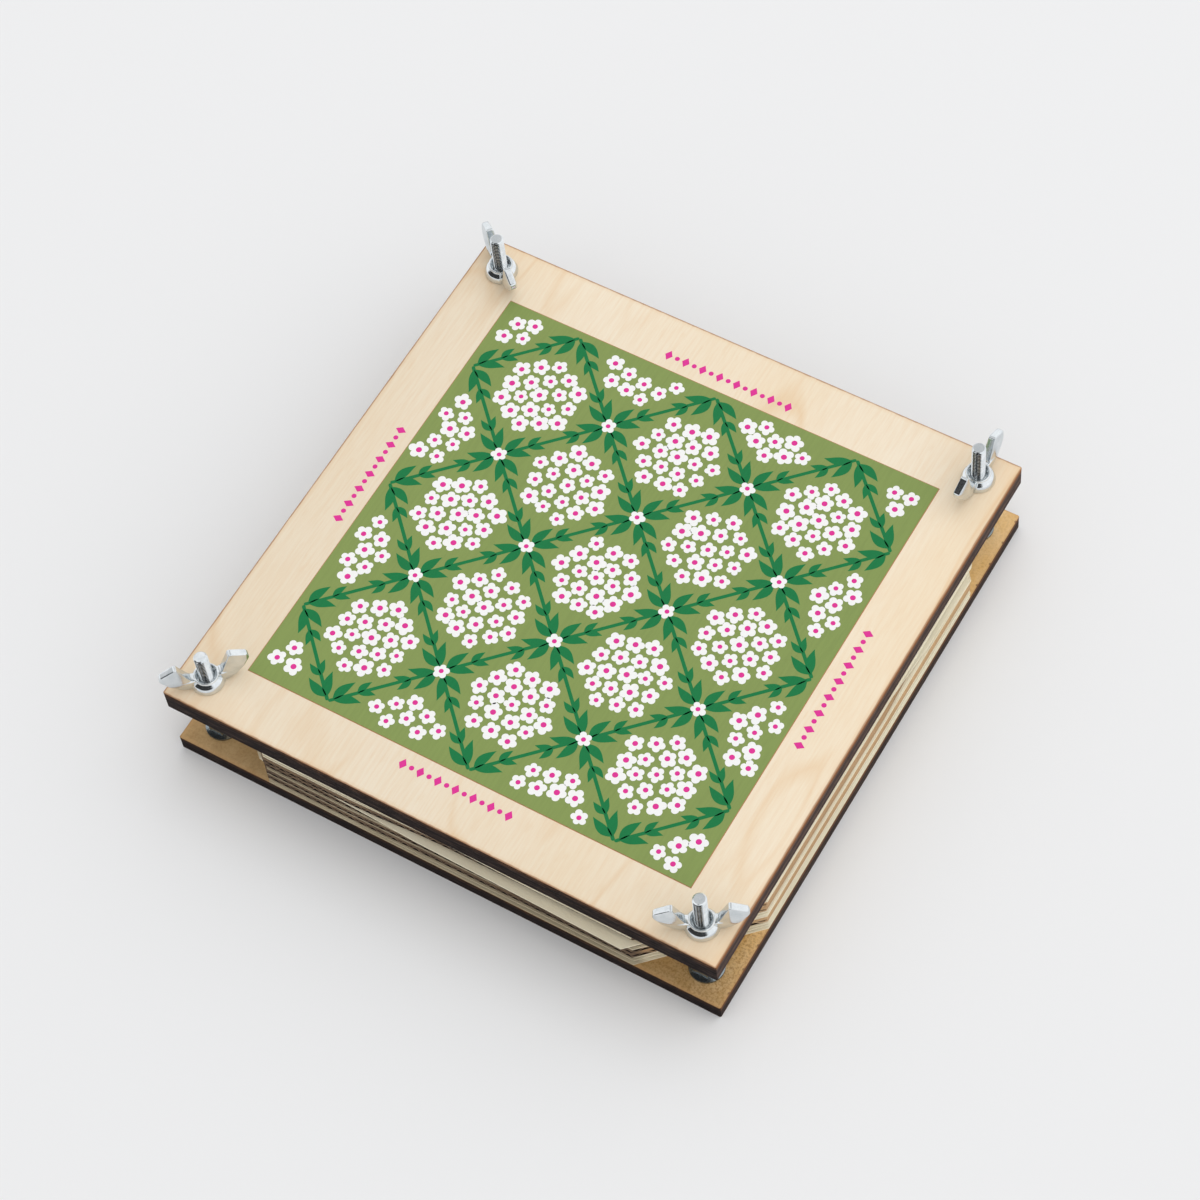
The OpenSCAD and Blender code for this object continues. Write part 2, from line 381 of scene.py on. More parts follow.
def board(name, low, high, hole_profile):
    """A board: its outline is a square with rounded corners, pushed in along the outline's normal
    by the profile's inset. The profile eases both edges and sinks a little at each glue line.
    hole_profile lists the (radius, z) points of each bolt hole from the underside up."""
    sides = 40
    along = np.linspace(-1, 1, sides, endpoint=False)
    half = high[0]
    core_half = half - BOARD_CORNER_R
    cores, normals = [], []
    for k in range(4):
        turn = k * np.pi / 2
        c, s = math.cos(turn), math.sin(turn)
        spin = np.array([[c, -s], [s, c]])
        arc = np.linspace(0, np.pi / 2, 9)[1:]
        straight = np.stack([np.full(sides, core_half), along * core_half], 1)
        bend = np.tile([[core_half, core_half]], (len(arc) + 1, 1))
        cores.append(np.concatenate([straight, bend]) @ spin.T)
        facing = np.concatenate([np.zeros(sides + 1), arc])
        normals.append(np.stack([np.cos(facing), np.sin(facing)], 1) @ spin.T)
    core, normal = np.concatenate(cores), np.concatenate(normals)
    z = np.linspace(low[2] + EDGE_EASE, high[2] - EDGE_EASE, 8 * PLY_COUNT + 1)
    glue = np.abs(np.cos(np.pi * PLY_COUNT * (z - low[2]) / (high[2] - low[2]))) ** 6
    inset = PLY_RELIEF * glue * np.sin(np.pi * (z - z[0]) / (z[-1] - z[0]))
    z = np.concatenate([[low[2], low[2] + EDGE_EASE / 3], z, [high[2] - EDGE_EASE / 3, high[2]]])
    inset = np.concatenate([[EDGE_EASE, EDGE_EASE / 3], inset, [EDGE_EASE / 3, EDGE_EASE]])
    outline = core[None] + normal[None] * (BOARD_CORNER_R - inset)[:, None, None]
    heights = np.broadcast_to(z[:, None, None], outline.shape[:2] + (1,))
    walls = np.concatenate([outline, heights], 2)
    points = [walls.reshape(-1, 3)]
    faces = [grid_quads(*outline.shape[:2], wrap=True)]
    total = walls.shape[0] * walls.shape[1]
    for at in BOLT_AT.values():
        hole = np.stack([np.column_stack([ring(at, r), np.full(40, h)]) for r, h in hole_profile])
        faces.append(grid_quads(len(hole_profile), 40, wrap=True, start=total))
        points.append(hole.reshape(-1, 3))
        total += hole.shape[0] * hole.shape[1]
    for row, h, r in ((0, low[2], hole_profile[0][0]), (-1, high[2], hole_profile[-1][0])):
        spots, fill = flat_fill([outline[row]] + [ring(at, r) for at in BOLT_AT.values()], h, total)
        points.append(spots)
        faces.append(fill)
        total += len(spots)
    return make_mesh(name, np.concatenate(points), faces, weld=1e-6)


def edge_distance(x, y):
    """Distance from the nearest edge of a board, in metres."""
    return HALF_SIDE - abs(x).over(abs(y))


# Small burnt notches on the right edge of the lower board
NOTCH_STEP = 7.75 * MM
NOTCH_FIRST = -80 * MM
NOTCH_HALF = 0.5 * MM
NOTCH_DEPTH = 0.55 * MM


def smoke_stains(finish, face, vector, x, y):
    """A face mottled with golden stains and dark specks, most of all near its right edge, darker towards
    its front edge, and with the notches on the right."""
    smoke = finish.noise(vector, 130, (1, 0.7, 1), detail=4, roughness=0.65)
    speckle = finish.noise(vector, 1300, detail=3, roughness=0.75)
    ragged = finish.noise(vector, 700, detail=2)
    from_right = HALF_SIDE - x
    from_front = y + HALF_SIDE
    stain = 0.35 + (1 - from_right.ramp(6 * MM, 40 * MM)) * 0.65
    specks = speckle.ramp(0.46, 0.58) * stain * (0.62 - from_front.ramp(20 * MM, 110 * MM) * 0.42)
    spots = smoke.ramp(0.50, 0.72) * speckle.ramp(0.56, 0.68) * stain * 0.65
    face = finish.mix(smoke.ramp(0.36, 0.64) * stain * 0.8, face, SMOKED_GOLD)
    face = finish.mix(specks, face, GOLD_SPECK)
    face = finish.mix(spots, face, SCORCH)
    # The face darkens towards its front edge
    face = finish.mix((y * -1).ramp(62 * MM, 84 * MM) * (0.20 + smoke * 0.5), face, FRONT_MARGIN_DARK)
    nearest = abs(((y - NOTCH_FIRST) / NOTCH_STEP + 0.5).fraction() - 0.5) * NOTCH_STEP
    spread = (nearest / NOTCH_HALF) ** 2 + (from_right / NOTCH_DEPTH) ** 2
    return finish.mix((1 - (spread + ragged - 0.5).ramp(0.45, 1.0)) * 0.9, face, CHAR)


def charred_side(finish, vector, y, z, low, high, smoked):
    """Colour and relief of a burnt side: soot in which the plies show as fine lines, a singed band under
    the upper edge, and painted shade that makes the front side darker than the others."""
    share = (z - low[2]) / (high[2] - low[2])
    ply = abs((share * PLY_COUNT).fraction() - 0.5)
    lengthwise = (share * PLY_COUNT * 0.5).fraction().ramp(0.48, 0.52)
    soot = finish.noise(vector, 1100, (0.25, 0.25, 2.5), detail=4, roughness=0.65)
    streaks = finish.noise(vector, 300, (0.35, 0.35, 6.0), detail=3, shift=(0.2, 0.6, 0))
    singed_band = (1 - (high[2] - z).ramp(0.2 * MM, 2.2 * MM)) * (0.55 + soot * 0.5).clamp()
    # Painted shade: the front side is darkened because it faces away from the light
    front_side_shade = (y * -1).ramp(HALF_SIDE - 0.45 * MM, HALF_SIDE - 0.2 * MM)
    char = finish.mix(soot.ramp(0.35, 0.70) * (0.35 + 0.65 * lengthwise) * 0.9, CHAR, CHAR_LIGHT)
    char = finish.mix(ply.ramp(0.40, 0.49) * 0.6, char, DEEP_CHAR)
    char = finish.mix(streaks.ramp(0.60, 0.75) * 0.4, char, SINGED)
    char = finish.mix(singed_band, char, SINGED)
    if smoked:
        char = finish.mix(0.45, char, DEEP_CHAR)
    char = finish.mix(front_side_shade * (0.92 - soot.ramp(0.46, 0.66) * 0.42), char, PAINTED_FRONT_SHADE)
    return char, soot * 0.6 + streaks * 0.4


def plywood(name, low, high, smoked):
    """Birch plywood: a face with fine grain and faint growth lines along Y, darker at the corners, with a
    scorched line at its edges, and charred sides, the front one darkened further by painted shade. Only
    the lower board is smoked."""
    made, finish = material(name)
    vector, x, y, z = finish.place()
    fine = finish.noise(vector, 900, (1.6, 0.10, 1), detail=4, roughness=0.6)
    broad = finish.noise(vector, 22, (1.0, 0.35, 1), detail=2)
    lines = finish.noise(vector, 26, (1.0, 0.22, 1), detail=1.5, shift=(0.31, 0.07, 0))
    fleck = finish.noise(vector, 520, (1.0, 0.30, 1), detail=2, shift=(0.9, 0.4, 0))
    growth = 1 - abs((lines * 8.0).fraction() - 0.5).ramp(0.0, 0.10)
    rim = edge_distance(x, y)
    corner = (abs(x) + abs(y)).ramp(1.62 * HALF_SIDE, 2.0 * HALF_SIDE)
    pale, shade = (SMOKED_BIRCH, SMOKED_GOLD) if smoked else (BIRCH, BIRCH_SHADE)
    face = finish.mix(broad.ramp(0.35, 0.72) * 0.55, pale, shade)
    face = finish.mix(fine.ramp(0.38, 0.68) * 0.20, face, BIRCH_STREAK)
    face = finish.mix(growth * broad.ramp(0.34, 0.58) * 0.38, face, BIRCH_STREAK)
    face = finish.mix(fleck.ramp(0.62, 0.80) * 0.16, face, BIRCH_STREAK)
    face = finish.mix(corner * 0.30, face, BIRCH_STREAK)
    if smoked:
        face = smoke_stains(finish, face, vector, x, y)
    face = finish.mix((1 - rim.ramp(0.2 * MM, 1.5 * MM)) * 0.30, face, BIRCH_STREAK)
    scorched = 1 - (rim - fleck * 0.4 * MM).ramp(0.0, 0.34 * MM)
    face = finish.mix(scorched * (0.25 if smoked else 0.72), face, SCORCH)
    char, char_relief = charred_side(finish, vector, y, z, low, high, smoked)
    inner, blur = 0.07 * MM, 0.03 * MM
    outside = (1 - (z - high[2] + inner).ramp(0.0, blur)) * (z - low[2] - inner).ramp(-blur, 0.0)
    height = (fine * 0.6 + fleck * 0.4) * (1 - outside) + char_relief * outside
    rough = 0.62 + outside * 0.2 - fine * 0.08
    finish.surface(finish.mix(outside, face, char), rough, height, 0.05 * MM, specular=0.12)
    return made


BOLT_R = (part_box("bolt_front_right")[1][0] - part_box("bolt_front_right")[0][0]) / 2
THREAD_R = 1.95 * MM
HEAD_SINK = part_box("bolt_front_right")[0][2]
sink_r = BOLT_R + HEAD_SINK + 0.07 * MM
hole_r = THREAD_R + 0.05 * MM

birch_face = plywood("birch_plywood", top_low, top_high, smoked=False)
smoked_face = plywood("smoked_plywood", base_low, base_high, smoked=True)
slide_r = THREAD_R + 0.4 * MM
upper_holes = [(slide_r, top_low[2]), (slide_r, top_high[2])]
lower_holes = [(sink_r, base_low[2]), (hole_r, sink_r - hole_r), (hole_r, base_high[2])]
upper_board = board("upper_board", top_low, top_high, upper_holes)
lower_board = board("lower_board", base_low, base_high, lower_holes)
dress(upper_board, birch_face, "top_plate", "birch_plywood", "top_board")
dress(lower_board, smoked_face, "base", "charred_plywood", "bottom_board")

# Print: an olive field, a lattice of leafy stems, and a posy of blossoms in each diamond


def at_height(flat, z):
    """Points of the plane, lifted to the height z."""
    return np.concatenate([flat, np.full(flat.shape[:-1] + (1,), z)], -1)


def inlays(name, centres, shapes, low, high):
    """Thin closed shapes. Each is a fan from its centre to its own closed outline, drawn at both
    heights and joined by a wall. centres is (m, 2) and shapes is (m, k, 2), in metres."""
    m, k = shapes.shape[:2]
    centres = centres[:, None]
    outline = centres + shapes
    layers = ((centres, high), (outline, high), (outline, low), (centres, low))
    block = np.concatenate([at_height(flat, z) for flat, z in layers], 1)
    j = np.arange(k)
    n = (j + 1) % k
    top = np.stack([np.zeros(k, int), 1 + j, 1 + n], 1)
    wall = np.stack([1 + j, 1 + k + j, 1 + k + n, 1 + n], 1)
    under = np.stack([np.full(k, 1 + 2 * k), 1 + k + n, 1 + k + j], 1)
    shift = (np.arange(m) * (2 * k + 2))[:, None, None]
    faces = [(shift + f[None]).reshape(-1, f.shape[1]) for f in (top, wall, under)]
    return make_mesh(name, block.reshape(-1, 3), faces)


def rosettes(radii, petals, turns, points=60):
    """Outlines of blossoms: r = R (0.62 + 0.38 |cos(petals a / 2)|^0.6), one lobe for each petal,
    made a little uneven by slow waves round the blossom."""
    a = np.linspace(0, 2 * np.pi, points, endpoint=False)
    turns = turns[:, None]
    lobes = np.abs(np.cos(petals * a[None] / 2 + turns)) ** 0.6
    uneven = 1 + 0.07 * np.sin(a[None] + 3 * turns) + 0.05 * np.sin(2 * a[None] + 5 * turns)
    r = radii[:, None] * (0.62 + 0.38 * lobes) * uneven
    return np.stack([r * np.cos(a), r * np.sin(a)], -1)


def almonds(lengths, widths, angles, points=24):
    """Outlines of leaves that point along their angle: half width = w sin(pi s^0.8)^1.1, with the
    belly nearer the stalk and the middle line bent by a shallow arc."""
    s = np.linspace(0, 1, points // 2 + 1)
    half = np.sin(np.pi * s ** 0.8) ** 1.1
    x = np.concatenate([s, s[-2:0:-1]]) - 0.5
    y = np.concatenate([half, -half[-2:0:-1]])
    px = lengths[:, None] * x[None]
    py = widths[:, None] / 2 * y[None] + 0.07 * lengths[:, None] * (1 - 4 * x[None] ** 2)
    return turned(px, py, angles[:, None])


def discs(radii, points=20):
    """Outlines of round dots."""
    a = np.linspace(0, 2 * np.pi, points, endpoint=False)
    return radii[:, None, None] * np.stack([np.cos(a), np.sin(a)], -1)[None]


DIAMONDS = 3
FIELD_MARGIN = 2 * MM
BLOSSOM_STEP = 5.4 * MM
BLOSSOM_R = 2.62 * MM
BLOSSOM_CLEAR = 3.4 * MM
POSY_TURN = 0.61  # turn from one posy to the next, in radians
LEAVES = ((1.4 * MM, 7.8 * MM, 2.7 * MM), (8.2 * MM, 5.0 * MM, 1.9 * MM))  # root, length, width
LEAF_SPREAD = math.radians(25)
STEM_WIDTH = 1.0 * MM
cell = 2 * (HALF_PRINT - FIELD_MARGIN) / DIAMONDS
steps = np.arange(2 * DIAMONDS + 1)
column, line = (v.ravel() for v in np.meshgrid(steps, steps))
lattice = np.stack([column - DIAMONDS, line - DIAMONDS], 1) * cell / 2
posies = lattice[column % 2 == line % 2]
hearts = lattice[(column % 2 == 1) & (line % 2 == 1)]
off_edge = (np.abs(lattice) < (DIAMONDS - 0.5) * cell / 2).all(1)
knots = lattice[(column % 2 != line % 2) & off_edge]

q, r = np.meshgrid(np.arange(-2, 3), np.arange(-2, 3))
near = np.abs(q + r) <= 2
hexagon = BLOSSOM_STEP * np.stack([(q + r / 2)[near], (r * math.sqrt(3) / 2)[near]])
posy_turn = np.arange(len(posies)) * POSY_TURN
blossoms = (posies[:, None] + turned(*hexagon, posy_turn[:, None])).reshape(-1, 2)
blossoms = blossoms[(np.abs(blossoms) < HALF_PRINT - BLOSSOM_CLEAR).all(1)]
by_hand = np.random.default_rng(7)
blossoms = blossoms + by_hand.uniform(-0.25, 0.25, blossoms.shape) * MM
flowers = np.concatenate([blossoms, knots])
uneven_radii = BLOSSOM_R + by_hand.uniform(-0.42, 0.22, len(blossoms)) * MM
flower_radii = np.concatenate([uneven_radii, np.full(len(knots), 0.85 * BLOSSOM_R)])
flower_turns = by_hand.uniform(0, 2 * np.pi, len(flowers))

field_top = print_high[2]
INK_STEP = 0.012 * MM

corner_ways = np.array([(-1, -1), (1, -1), (1, 1), (-1, 1)])
stem_middles = (hearts[:, None] + corner_ways[None] * cell / 4).reshape(-1, 2)
stem_angles = np.tile([-math.pi / 4, math.pi / 4, -math.pi / 4, math.pi / 4], len(hearts))
side_length = cell / math.sqrt(2)
along_stem = np.stack([np.cos(stem_angles), np.sin(stem_angles)], 1)
leaf_spots, leaf_turns, leaf_lengths, leaf_widths = [], [], [], []
for root, length, width in LEAVES:
    for end in (-1, 1):
        for side in (-1, 1):
            angle = stem_angles + (0 if end < 0 else math.pi) + side * LEAF_SPREAD
            start = stem_middles + along_stem * end * (side_length / 2 - root)
            leaf_spots.append(start + np.stack([np.cos(angle), np.sin(angle)], 1) * length / 2)
            leaf_turns.append(angle)
            leaf_lengths.append(np.full(len(angle), length))
            leaf_widths.append(np.full(len(angle), width))
leaf_spots, leaf_turns = np.concatenate(leaf_spots), np.concatenate(leaf_turns)
leaf_shapes = almonds(np.concatenate(leaf_lengths), np.concatenate(leaf_widths), leaf_turns)
printable = (np.abs(leaf_spots[:, None] + leaf_shapes) < HALF_PRINT - 0.8 * MM).all((1, 2))


def bars(lengths, widths, angles):
    """Outlines of straight bars with rounded ends."""
    a = np.linspace(-np.pi / 2, np.pi / 2, 5)
    ends = np.stack([np.cos(a), np.sin(a)], 1)
    r = widths[:, None] / 2
    reach = lengths[:, None] / 2 - r
    right = np.stack([reach + r * ends[:, 0], r * ends[:, 1]], -1)
    outline = np.concatenate([right, -right], 1)
    return turned(outline[..., 0], outline[..., 1], angles[:, None])


def ink(name, colour, uneven=0.3):
    """Matt printed ink, a touch darker where the wood's grain shows through."""
    made, finish = material(name)
    vector, *_ = finish.place()
    grain = finish.noise(vector, 900, (1.6, 0.12, 1), detail=3)
    darker = tuple(c * 0.90 for c in colour)
    shown = finish.mix(grain.ramp(0.4, 0.7) * uneven, colour, darker)
    finish.surface(shown, 0.55, grain, 0.01 * MM, specular=0.3)
    return made


def printed(name, centres, shapes, finish, sink=INK_STEP, rise=INK_STEP, ground=field_top):
    """A printed shape that goes with the upper board, from sink under its ground to rise over
    it."""
    piece = inlays(name, centres, shapes, ground - sink, ground + rise)
    return dress(piece, finish, "top_plate", "printed_ink")


square = np.array([[-1, -1], [1, -1], [1, 1], [-1, 1]], float)
field_shape = (square * HALF_PRINT)[None]
field = inlays("print_field", np.zeros((1, 2)), field_shape, print_low[2], field_top)
dress(field, ink("olive_ink", OLIVE), "top_plate", "printed_ink", "print_panel")
green_ink = ink("leaf_green_ink", LEAF_GREEN)
white_ink = ink("white_ink", PETAL_WHITE, 0.1)
magenta_ink = ink("magenta_ink", MAGENTA)
edge_ink = ink("edge_ink", PRINT_EDGE)
stems = np.ones(len(stem_middles))
stem_shapes = bars(stems * side_length * 0.99, stems * STEM_WIDTH, stem_angles)
petals = rosettes(flower_radii, 5, flower_turns)
buttons = discs(flower_radii * 0.30)
printed("print_stems", stem_middles, stem_shapes, green_ink)
printed("print_leaves", leaf_spots[printable], leaf_shapes[printable], green_ink, rise=1.3 * INK_STEP)
printed("print_petals", flowers, petals, white_ink, rise=1.7 * INK_STEP)
printed("print_buttons", flowers, buttons, magenta_ink, sink=0, rise=2.4 * INK_STEP)

# Thin scorched seam round the field
SEAM_WIDTH = 0.22 * MM
seam = HALF_PRINT + 0.1 * MM
seam_middles = np.array([[0, -seam], [seam, 0], [0, seam], [-seam, 0]])
seam_angles = np.array([0, 1, 0, 1]) * np.pi / 2
seam_shapes = bars(np.full(4, 2 * seam + 0.2 * MM), np.full(4, SEAM_WIDTH), seam_angles)
printed("print_seam", seam_middles, seam_shapes, edge_ink, ground=top_high[2])

# Margin ornaments: a row of lozenges and dots on each border of the board: front, right, back, left
ORNAMENT_AT = 72.8 * MM
ORNAMENT_STEP = 2.72 * MM
ORNAMENT_COUNTS = (13, 15, 15, 13)
LOZENGE = np.array([(1.15, 0), (0, 1.65), (-1.15, 0), (0, -1.65)]) * MM
DOT_R = 0.72 * MM
lozenge_sides = np.roll(LOZENGE, -1, 0) - LOZENGE
quarters = np.array([0, 0.25, 0.5, 0.75])[None, :, None]
lozenge = (LOZENGE[:, None] + lozenge_sides[:, None] * quarters).reshape(-1, 2)
dot = discs(np.array([DOT_R]), 16)[0]
spots, shapes = [], []
for k, count in enumerate(ORNAMENT_COUNTS):
    row = (np.arange(count) - (count - 1) / 2) * ORNAMENT_STEP
    ornament = np.where(np.arange(count)[:, None, None] % 2 == 1, dot, lozenge)
    spots.append(turned(row, -ORNAMENT_AT, k * np.pi / 2))
    shapes.append(turned(ornament[..., 0], ornament[..., 1], k * np.pi / 2))
spots, shapes = np.concatenate(spots), np.concatenate(shapes)
printed("margin_ornaments", spots, shapes, magenta_ink, ground=top_high[2])

# Screws

THREAD_PITCH = 0.7 * MM
THREAD_DEPTH = 0.36 * MM
TIP_CHAMFER = 0.45 * MM
RECESS_LENGTH = 4 * MM
RECESS_WIDTH = 0.9 * MM
RECESS_DEPTH = 1.3 * MM
SCUFF_DEPTH = 0.0012 * MM


def zinc(name, roughness, bright=ZINC, clouded=ZINC_CLOUD):
    """Zinc plating: a metal with a faint blue cast, fine scuffs and cloudy patches."""
    made, finish = material(name)
    vector, *_ = finish.place()
    cloud = finish.noise(vector, 420, detail=3)
    grit = finish.noise(vector, 5200, detail=3, roughness=0.7)
    colour = finish.mix(cloud.ramp(0.35, 0.7) * 0.5, bright, clouded)
    rough = roughness + cloud.ramp(0.3, 0.8) * 0.07 + grit.ramp(0.55, 0.8) * 0.05
    finish.surface(colour, rough, grit * 0.5 + cloud, SCUFF_DEPTH, metallic=1.0)
    return made


def recess_arm(across, along):
    """Share of the recess's depth that one arm of its cross has: 1 inside, with sloping walls."""
    wall = np.clip((RECESS_WIDTH / 2 - np.abs(across)) / (0.16 * MM) + 0.5, 0, 1)
    return wall * np.clip((RECESS_LENGTH / 2 - np.abs(along)) / (0.3 * MM), 0, 1)


def screw(name, at, low, high):
    """A countersunk screw on a grid of turn and height. The shank's radius falls from the crest
    by the thread's depth times a clipped saw of (z / pitch - turn / 2 pi). The head is a 90
    degree cone, its face a polar grid sunk by a cross, and the tip is chamfered."""
    columns, per_pitch = 48, 14
    cone_top = low + BOLT_R - THREAD_R
    z = np.arange(cone_top, high, THREAD_PITCH / per_pitch)
    z = np.concatenate([z[:-1], [high - TIP_CHAMFER, high - TIP_CHAMFER / 2, high]])
    z.sort()
    turn = np.linspace(0, 2 * np.pi, columns, endpoint=False)
    phase = (z[:, None] / THREAD_PITCH - turn[None] / (2 * np.pi)) % 1
    groove = np.clip((np.abs(phase - 0.5) - 0.07) / 0.34, 0, 1)
    fade = np.clip((z - cone_top) / THREAD_PITCH, 0, 1)[:, None]
    r = THREAD_R - THREAD_DEPTH * (1 - groove) * fade
    r = np.minimum(r, (THREAD_R - TIP_CHAMFER + np.maximum(high - z, 0))[:, None])
    face_r = np.linspace(0, 1, 24)[:, None] * BOLT_R * np.ones((1, columns))
    fx, fy = face_r * np.cos(turn), face_r * np.sin(turn)
    face_z = low + RECESS_DEPTH * np.maximum(recess_arm(fx, fy), recess_arm(fy, fx))
    cap_r = np.linspace(1, 0, 5)[1:, None] * (THREAD_R - TIP_CHAMFER)
    all_r = np.concatenate([face_r, r, np.broadcast_to(cap_r, (4, columns))])
    all_z = np.concatenate([face_z, np.broadcast_to(z[:, None], r.shape), np.full((4, columns), high)])
    points = np.stack([at[0] + all_r * np.cos(turn), at[1] + all_r * np.sin(turn), all_z], -1)
    quads = grid_quads(*all_r.shape, wrap=True)
    return make_mesh(name, points.reshape(-1, 3), [quads], smooth_angle=32, weld=2e-6)


bolt_zinc = zinc("bolt_zinc", 0.09)
for corner in CORNERS:
    low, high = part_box("bolt_" + corner)
    piece = screw("screw_" + corner, BOLT_AT[corner], low[2], high[2])
    dress(piece, bolt_zinc, "base", "zinc_bolts", "bolt_" + corner)

# Flange nuts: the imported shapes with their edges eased


def eased_copy(node, name, width):
    """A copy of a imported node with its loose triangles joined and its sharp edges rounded."""
    mesh = frame["nodes"][node].data.copy()
    mesh.name = name
    work = bmesh.new()
    work.from_mesh(mesh)
    bmesh.ops.remove_doubles(work, verts=work.verts, dist=1e-6)
    bmesh.ops.dissolve_limit(work, angle_limit=math.radians(1), verts=work.verts, edges=work.edges)
    piece = finished_piece(name, mesh, work, 35)
    ease = piece.modifiers.new("ease", "BEVEL")
    ease.width, ease.segments, ease.use_clamp_overlap = width, 2, True
    ease.limit_method, ease.angle_limit = "ANGLE", math.radians(28)
    return piece


NUT_EASE = 0.12 * MM
# Painted shade: the flange nuts' zinc is darker, for the upper board's shadow over them
nut_zinc = zinc("flange_nut_zinc_painted_shade", 0.2, PAINTED_SHADE_ZINC, PAINTED_SHADE_CLOUD)
for corner in CORNERS:
    node = "flange_nut_" + corner
    dress(eased_copy(node, "hex_" + node, NUT_EASE), nut_zinc, "base", "zinc_flange_nuts", node)

# Wing nuts

WING_ANGLES = {"front_left": 47, "front_right": 31, "back_right": 87.5, "back_left": 141}
WING_T = 1.9 * MM
WING_BULGE = 0.45 * MM
HUB_FOOT_R = 4.8 * MM
HUB_LIP_R = 3.55 * MM
HUB_H = 3.8 * MM
WING_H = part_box("wing_nut_front_left")[1][2] - top_high[2]
WING_MIDDLE = np.array([7.4, 4.6]) * MM
# Corners of a wing's outline: distance from the axis, height and corner radius
WING_OUTLINE = np.array([
    (2.6, 0.5, 0.0), (5.4, 0.32, 1.5), (7.7, 1.5, 3.0), (10.4, 4.2, 3.0), (12.45, 7.0, 0.9),
    (12.2, 8.6, 0.9), (7.3, 11.0, 0.7), (5.2, 6.2, 3.0), (4.2, 4.1, 1.2), (2.6, 3.4, 0.0),
]) * MM
BORE_R = THREAD_R + 0.05 * MM
# Outside of the hub from the bore's foot up to the lip: radius and height
HUB_SKIRT = [
    (BORE_R, 0), (4.55 * MM, 0), (HUB_FOOT_R, 0.22 * MM), (HUB_FOOT_R, 0.55 * MM),
    (4.55 * MM, 1.25 * MM), (4.22 * MM, 1.9 * MM), (3.4 * MM, 2.36 * MM), (3.05 * MM, 2.55 * MM),
    (3.0 * MM, 3.0 * MM),
]


def revolve(profile, turns=72):
    """A closed profile of (r, z) carried round the Z axis."""
    a = np.linspace(0, 2 * np.pi, turns, endpoint=False)
    profile = np.array(profile)
    r, z = profile[:, 0][:, None], profile[:, 1][:, None]
    points = np.stack([r * np.cos(a), r * np.sin(a), np.broadcast_to(z, (len(profile), turns))], -1)
    return points.reshape(-1, 3), grid_quads(len(profile), turns, wrap=True)


def wing_plate(side):
    """One wing, a broad ear: rings of its outline shrunk towards its middle. The half thickness
    falls from the middle to the rim as v^2 and from the foot to the top, and the outer end is
    rounded as an ellipse."""
    outline = rounded_outline(WING_OUTLINE[:, :2], WING_OUTLINE[:, 2])
    outline[:, 1] = np.minimum(outline[:, 1], WING_H - 0.05 * MM)
    v = np.concatenate([np.linspace(0, 1, 14), [1.0, 1.0]])
    half = WING_T / 2 + WING_BULGE * (1 - v ** 2)
    half[-2], half[-1] = WING_T / 2, 0
    flat = WING_MIDDLE + (outline - WING_MIDDLE)[None] * v[:, None, None]
    thick = np.broadcast_to(half[:, None], flat.shape[:2])
    rise = np.clip((flat[..., 1] - 1 * MM) / (9 * MM), 0, 1)
    past = np.clip((flat[..., 0] - 11 * MM) / (1.45 * MM), 0, 1)
    taper = (1.45 - 0.40 * rise) * np.sqrt(1 - 0.8 * past ** 2)
    front = np.stack([side * flat[..., 0], thick * taper, flat[..., 1]], -1)
    back = front * np.array([1, -1, 1])
    points = np.concatenate([front.reshape(-1, 3), back.reshape(-1, 3)])
    quads = grid_quads(*flat.shape[:2], wrap=True)
    return points, np.concatenate([quads, quads + flat.shape[0] * flat.shape[1]])


def wing_nut_form():
    """Points and faces of one wing nut on the axis, standing at zero: a bell-shaped hub with a
    rolled lip round a countersunk mouth, and two wings, joined by a voxel remesh and smoothed,
    as a casting is."""
    roll = 0.36 * MM
    lip = np.linspace(-0.6, np.pi, 11)
    lip_r = HUB_LIP_R - roll + roll * np.cos(lip)
    lip_z = HUB_H - roll + roll * np.sin(lip)
    profile = HUB_SKIRT + list(zip(lip_r, lip_z)) + [(BORE_R, 2.2 * MM), (BORE_R, 0.0)]
    rough = make_mesh("wing_nut_form", *joined([revolve(profile), wing_plate(1), wing_plate(-1)]))
    skin = rough.modifiers.new("skin", "REMESH")
    skin.mode, skin.voxel_size, skin.use_smooth_shade = "VOXEL", 0.11 * MM, True
    soften = rough.modifiers.new("soften", "SMOOTH")
    soften.factor, soften.iterations = 0.5, 9
    bpy.context.view_layer.update()
    done = rough.evaluated_get(bpy.context.evaluated_depsgraph_get()).to_mesh()
    spots = np.zeros(len(done.vertices) * 3, np.float32)
    done.vertices.foreach_get("co", spots)
    quads = [tuple(f.vertices) for f in done.polygons]
    rough.to_mesh_clear()
    bpy.data.objects.remove(rough)
    spots = spots.reshape(-1, 3).astype(float)
    spots[:, 2] = np.clip(spots[:, 2], 0, WING_H)
    return spots, quads


wing_zinc = zinc("wing_nut_zinc", 0.13)
form_points, form_faces = wing_nut_form()
for corner in CORNERS:
    node = "wing_nut_" + corner
    turn = math.radians(WING_ANGLES[corner])
    c, s = math.cos(turn), math.sin(turn)
    spun = form_points @ np.array([[c, s, 0], [-s, c, 0], [0, 0, 1]])
    spun += np.array([*BOLT_AT[corner], top_high[2]])
    piece = make_mesh("winged_nut_" + corner, spun, [form_faces], smooth_angle=180, weld=1e-8)
    dress(piece, wing_zinc, node, "zinc_wing_nuts", node)

# Pack of sheets and cards

PAPER_T = 0.38 * MM
CARD_T = 1.5 * MM
LINER_T = 0.16 * MM
FLUTE_PITCH = 3.45 * MM
WAVE_T = 0.14 * MM
